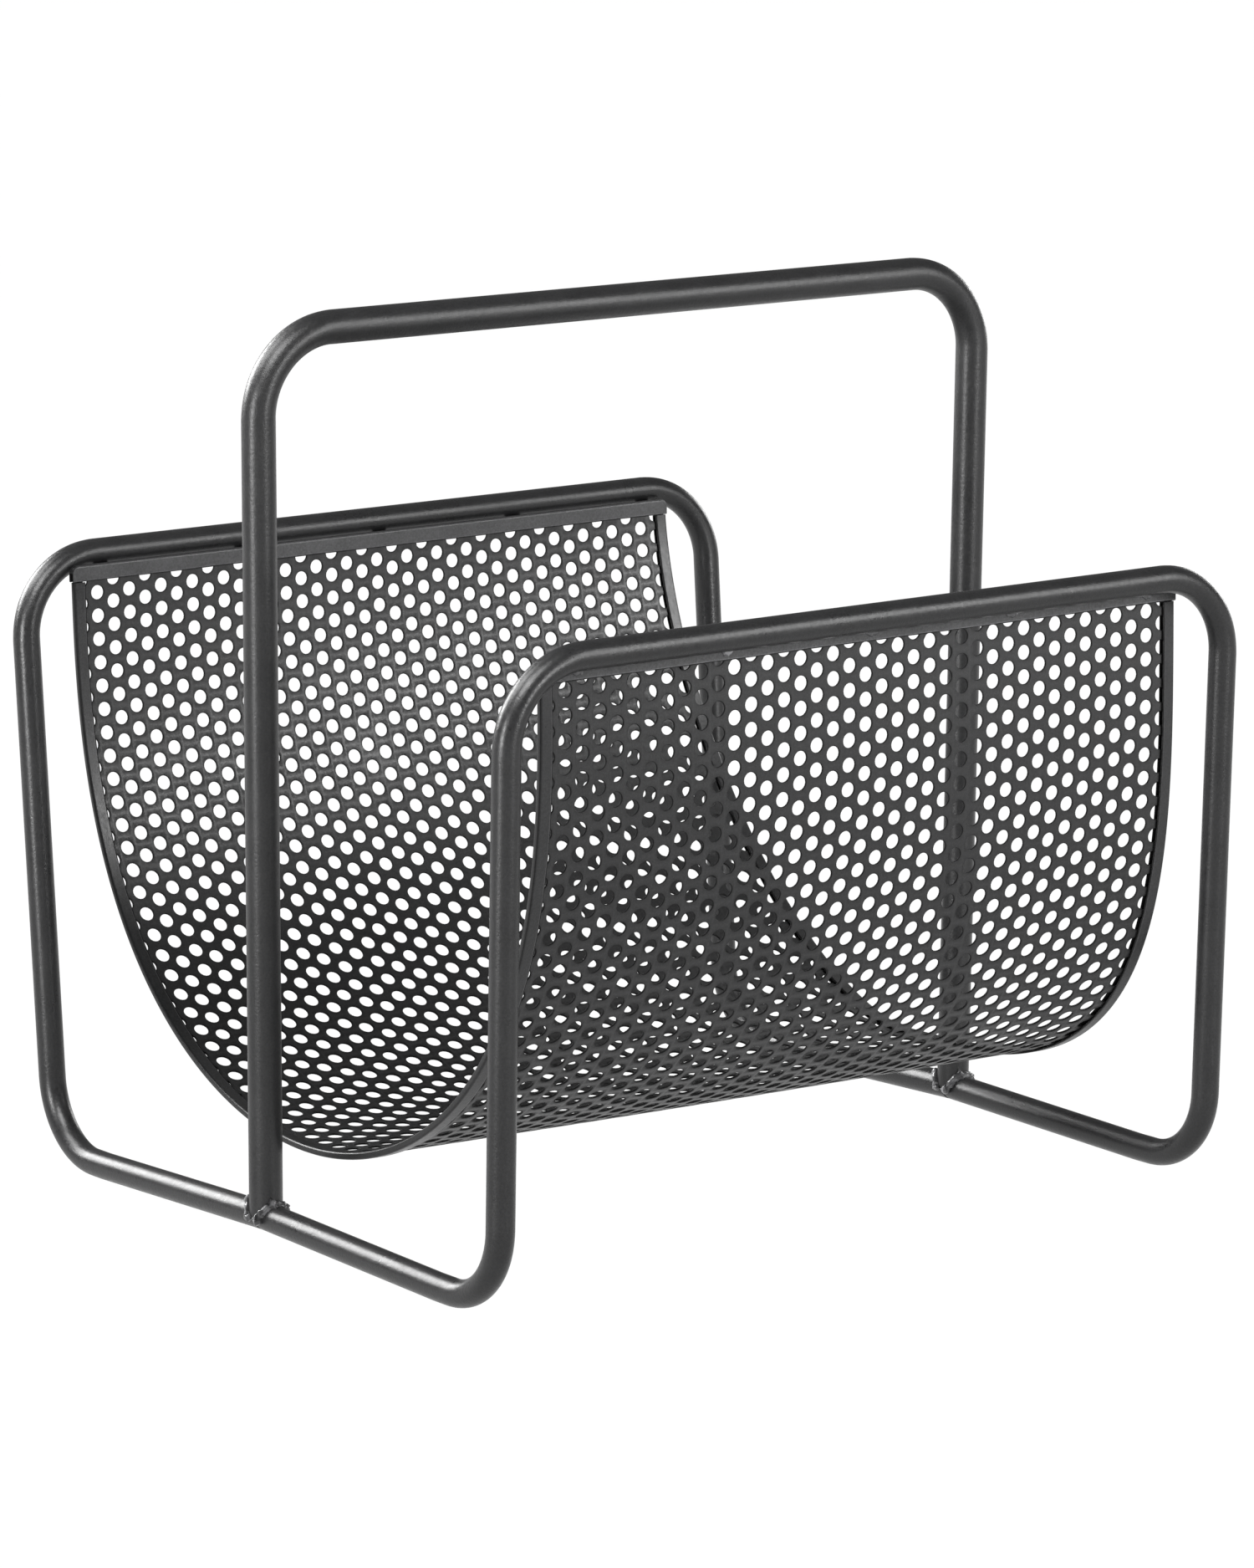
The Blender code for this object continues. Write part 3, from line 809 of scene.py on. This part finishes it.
BEAD_SIDES = 26
BEAD_STATIONS = 57
BEAD_R = 0.0017
BEAD_ARC = math.radians(88)
BEAD_OFF_LEG = 0.0004
BEAD_WANDER = 0.0003
BEAD_OFF_RUNNER = 0.0003
BUTT_OVERLAP = 0.0001
BUTT_UNEVEN = 0.004

# Along the joint, from one arch's end to the other's: shares of its half length and its radius
BUTT_SHARES = (-1.0, -0.6, -0.35, 0.0, 0.35, 0.6, 1.0)
BUTT_RADII = (1.0, 0.995, 0.95, 0.86, 0.95, 0.995, 1.0)

# Tacks. Heights are on the channel's face, from the rail's middle.
TACK_HALF = 0.0031
TACK_STATIONS = 13
TACK_POINTS = 8
TACK_CORNER_Z = -0.0047
TACK_FOOT_Z = -0.0050
TACK_REACH = 0.0026
TACK_SCOOP = np.array((0.0007, -0.0004))
TACK_OVERLAP = 0.0001
TACK_ROOT_Z = (-0.0060, -0.0040)
TACK_ROOT_DEPTH = 0.0003


def lumps(seed, *angles):
    """A smooth repeatable unevenness between about -1 and 1."""
    value = 0.0
    for i, angle in enumerate(angles):
        for k, share in ((1, 0.45), (2, 0.3), (3, 0.25)):
            value += share * math.sin(angle * (k * 1.7 + i) + seed * (2.3 + k) + i * 1.9)
    return value / len(angles)


def bead(name, centres, radii, seed, replaced):
    """A lumpy bead of weld metal along a short path, tapering to its ends."""
    loops = []
    for i, centre in enumerate(centres):
        ahead = centres[min(i + 1, len(centres) - 1)] - centres[max(i - 1, 0)]
        tangent = unit(ahead)
        across = np.cross(tangent, (0, 0, 1.0))
        across = unit(across) if np.linalg.norm(across) > 0.1 else np.array((1.0, 0, 0))
        other = np.cross(tangent, across)
        loop = []
        for k in range(BEAD_SIDES):
            angle = 2 * math.pi * k / BEAD_SIDES
            # Broad lumps, fine ripples and raised creases
            ripple = 0.26 * lumps(seed, i * 0.24, angle)
            ripple += 0.08 * lumps(seed + 4, i * 0.8, angle * 2)
            ripple += 0.30 * abs(lumps(seed + 9, i * 0.33, angle * 1.4)) - 0.06
            outward = across * math.cos(angle) + other * math.sin(angle)
            point = centre + outward * radii[i] * (1 + ripple)
            loop.append(np.clip(point, tuple(cad_low), tuple(cad_high)))
        loops.append(loop)
    return loft_piece(name, loops, weld_coat_with_painted_glints, [replaced], sharp=0)


def foot_weld_piece(name, x, side, replaced, seed):
    """The bead round half of a handle leg, along the saddle where it meets the runner."""
    centres = []
    radii = []
    for i in range(BEAD_STATIONS):
        share = i / (BEAD_STATIONS - 1) * 2 - 1
        angle = share * BEAD_ARC
        reach = HANDLE_R + BEAD_OFF_LEG + BEAD_WANDER * lumps(seed + 2, share * 5)
        dx = reach * math.sin(angle)
        dy = reach * math.cos(angle)
        z = math.sqrt(max((FRAME_R + BEAD_OFF_RUNNER) ** 2 - dx**2, 0.0))
        centres.append(np.array((x + dx, side * dy, JOINT_Z + z)))
        size = BEAD_R * (1 + 0.45 * lumps(seed + 5, share * 6))
        radii.append(size * max(1 - abs(share) ** 5, 0.10))
    return bead(name, centres, radii, seed, replaced)


def butt_weld_piece(name, x, replaced):
    """The filled joint between the two arch ends, with a fine groove round its middle."""
    loops = []
    dark = []
    for share, scale in zip(BUTT_SHARES, BUTT_RADII):
        dark += [1.0 if abs(share) < 0.5 else 0.0] * TUBE_SIDES
        y = share * (BUTT_HALF_GAP + BUTT_OVERLAP)
        loop = []
        for k in range(TUBE_SIDES):
            angle = 2 * math.pi * k / TUBE_SIDES
            uneven = BUTT_UNEVEN * lumps(1, angle * 2) * (1 - abs(share))
            radius = FRAME_R * (scale + uneven)
            loop.append((x + radius * math.cos(angle), y, JOINT_Z + radius * math.sin(angle)))
        loops.append(loop)
    obj = loft_piece(name, loops, trim_coat, [replaced], sharp=0)
    set_rim(obj, dark)
    return obj


def tack_piece(name, x, side, replaced, seed):
    """A small scooped tack in the corner between a rail and the face of its channel."""
    face = SLING_HALF_DEPTH + TOP_TRIM_HALF - RAIL_Y
    half = TACK_HALF * (1 + 0.12 * lumps(seed, 2.0))
    loops = []
    for i in range(TACK_STATIONS):
        share = i / (TACK_STATIONS - 1) * 2 - 1
        grow = math.sqrt(max(1 - share**2, 0.02))
        rail_angle = math.radians(75 - 13 * grow + 2 * lumps(seed, share * 4))
        start = np.array((-FRAME_R * math.cos(rail_angle), -FRAME_R * math.sin(rail_angle)))
        corner = np.array((face - TACK_OVERLAP, TACK_CORNER_Z))
        reach = TACK_REACH * grow * (1 + 0.2 * lumps(seed + 3, share * 5))
        foot = np.array((face + TACK_OVERLAP, TACK_FOOT_Z - reach))
        pull = corner + TACK_SCOOP * (1 + 0.5 * lumps(seed + 7, share * 3))
        loop = []
        for k in range(TACK_POINTS):
            t = k / (TACK_POINTS - 1)
            loop.append(start * (1 - t) ** 2 + pull * 2 * t * (1 - t) + foot * t**2)
        for z in TACK_ROOT_Z:
            loop.append((face - TACK_ROOT_DEPTH, z))
        loops.append([(x + share * half, side * (RAIL_Y + y), RAIL_Z + z) for y, z in loop])
    return loft_piece(name, loops, weld_coat_with_painted_glints, [replaced], sharp=0)


# ---------------------------------------------------------------- build the rack

tubes = [
    arch_piece("front_arch", -1, "front_frame_tube"),
    arch_piece("back_arch", 1, "back_frame_tube"),
    handle_piece(),
]
skins = [perforated_sheet()]
for side_name, side in (("left", -1), ("right", 1)):
    skins.append(side_trim_piece(side_name + "_edge_channel", side, side_name + "_side_trim"))
    butt_weld_piece(side_name + "_runner_joint", side * RUNNER_X, side_name + "_butt_weld")
    for face_name, face in (("front", -1), ("back", 1)):
        replaced = f"{side_name}_foot_weld_{face_name}"
        seed = 3 * side + 7 * face
        foot_weld_piece(f"{side_name}_{face_name}_leg_bead", side * RUNNER_X, face, replaced, seed)
for face_name, face in (("front", -1), ("back", 1)):
    skins.append(top_trim_piece(face_name + "_top_channel", face, face_name + "_top_trim"))
    for i in range(TACK_COUNT):
        x = (i - (TACK_COUNT - 1) / 2) * TACK_SPACING
        replaced = f"{face_name}_tack_weld_{i + 1}"
        tack_piece(f"{face_name}_tack_{i + 1}", x, face, replaced, i + 6 * face)

# ---------------------------------------------------------------- floor, light and camera

FLOOR_HALF = 30.0
FLOOR_Z = -0.0002
BACKDROP_R = 16.0
BACKDROP_Z = (-0.1, 8.0)
BACKDROP_SIDES = 64
WHITE_GLOW = 1.0
STAGE_ALBEDO = 0.03
WORLD_STRENGTH = 0.15
LIGHTS_AIM = Vector((0, 0, 0.12))

# Soft boxes: name, azimuth from +Y towards +X, elevation, distance, width, height, radiance and the
# pieces they light. A box without pieces lights everything.
SOFT_LIGHTS = (
    ("rear_left_box", -22, 25.5, 1.8, 1.2, 0.85, 18.0, None),
    ("right_strip", 69, 9, 2.0, 1.0, 0.45, 6.5, None),
    ("front_right_box", 144, 20.5, 2.0, 0.9, 0.9, 9.7, None),
    ("sheet_box", 144, 19, 1.9, 0.9, 0.9, 5.2, skins),
    ("sheet_fill", 66, 40, 1.8, 1.6, 1.4, 0.7, skins),
    ("front_strip", 166, 6, 2.0, 0.30, 0.6, 29.0, tubes),
    ("left_strip", -101, 7, 1.7, 0.40, 0.7, 30.0, tubes),
    ("overhead_box", -130, 51, 1.8, 0.95, 0.85, 18.0, tubes),
    ("left_high_box", -56, 52, 1.8, 0.9, 0.85, 13.0, tubes),
)

# The photograph's viewing direction, lean and focal length
CAMERA_PLACE = Vector((-1.29005, -1.78662, 0.55467))
CAMERA_YAW = 0.6269
CAMERA_PITCH = 0.1841
CAMERA_ROLL = -0.0142
CAMERA_LENS = 141.45
CAMERA_SENSOR = 36.0
CAMERA_CLIP = (0.05, 100.0)


def stage_piece(name, verts, faces):
    """A plain matt white studio surface, with an even glow so it stays white into the distance."""
    mesh = bpy.data.meshes.new(name)
    mesh.from_pydata(verts, [], faces)
    piece = bpy.data.objects.new(name, mesh)
    bpy.context.scene.collection.objects.link(piece)
    mat = bpy.data.materials.new("plain " + name)
    mat.use_nodes = True
    shader = mat.node_tree.nodes["Principled BSDF"]
    shader.inputs["Base Color"].default_value = (STAGE_ALBEDO, STAGE_ALBEDO, STAGE_ALBEDO, 1)
    shader.inputs["Roughness"].default_value = 1.0
    shader.inputs["Specular IOR Level"].default_value = 0.0
    shader.inputs["Emission Color"].default_value = (1, 1, 1, 1)
    shader.inputs["Emission Strength"].default_value = WHITE_GLOW
    mesh.materials.append(mat)
    return piece


def make_floor():
    """The floor, and a far ring that carries its white up past the horizon."""
    corners = [(-1, -1), (1, -1), (1, 1), (-1, 1)]
    verts = [(x * FLOOR_HALF, y * FLOOR_HALF, FLOOR_Z) for x, y in corners]
    stage_piece("floor", verts, [(0, 1, 2, 3)])
    sides = BACKDROP_SIDES
    turns = [2 * math.pi * k / sides for k in range(sides)]
    ring = [(math.cos(turn) * BACKDROP_R, math.sin(turn) * BACKDROP_R) for turn in turns]
    verts = [(x, y, z) for z in BACKDROP_Z for x, y in ring]
    faces = [(k, k + sides, (k + 1) % sides + sides, (k + 1) % sides) for k in range(sides)]
    backdrop = stage_piece("backdrop", verts, faces)
    backdrop.visible_glossy = False
    backdrop.visible_diffuse = False
    backdrop.visible_shadow = False


def soft_light(name, azimuth, elevation, distance, width, height, radiance, only):
    """A soft box in the given direction from the rack, in degrees and metres, facing the rack."""
    a, e = math.radians(azimuth), math.radians(elevation)
    direction = Vector((math.sin(a) * math.cos(e), math.cos(a) * math.cos(e), math.sin(e)))
    data = bpy.data.lights.new(name, "AREA")
    data.shape = "RECTANGLE"
    data.size = width
    data.size_y = height
    data.energy = radiance * math.pi * width * height
    light = bpy.data.objects.new(name, data)
    bpy.context.scene.collection.objects.link(light)
    light.visible_camera = False
    light.location = direction * distance + LIGHTS_AIM
    light.rotation_mode = "QUATERNION"
    light.rotation_quaternion = direction.to_track_quat("Z", "Y")
    if only:
        receivers = bpy.data.collections.new(name + "_receivers")
        for piece in only:
            receivers.objects.link(piece)
        light.light_linking.receiver_collection = receivers


def set_world(strength):
    """An even white light from all round."""
    world = bpy.data.worlds.new("studio")
    world.use_nodes = True
    background = world.node_tree.nodes["Background"]
    background.inputs["Color"].default_value = (1, 1, 1, 1)
    background.inputs["Strength"].default_value = strength
    bpy.context.scene.world = world


def set_camera():
    level = math.cos(CAMERA_PITCH)
    sin_yaw, cos_yaw = math.sin(CAMERA_YAW), math.cos(CAMERA_YAW)
    ahead = Vector((sin_yaw * level, cos_yaw * level, -math.sin(CAMERA_PITCH)))
    right = Vector((cos_yaw, -sin_yaw, 0))
    up = right.cross(ahead)
    cos_roll, sin_roll = math.cos(CAMERA_ROLL), math.sin(CAMERA_ROLL)
    right, up = right * cos_roll + up * sin_roll, up * cos_roll - right * sin_roll
    data = bpy.data.cameras.new("camera")
    data.sensor_width = CAMERA_SENSOR
    data.lens = CAMERA_LENS
    data.clip_start, data.clip_end = CAMERA_CLIP
    camera = bpy.data.objects.new("camera", data)
    bpy.context.scene.collection.objects.link(camera)
    turn = Matrix((right, up, -ahead)).transposed().to_4x4()
    camera.matrix_world = Matrix.Translation(CAMERA_PLACE) @ turn
    bpy.context.scene.camera = camera


make_floor()
set_world(WORLD_STRENGTH)
for row in SOFT_LIGHTS:
    soft_light(*row)
set_camera()
bpy.context.scene.view_settings.view_transform = "Standard"
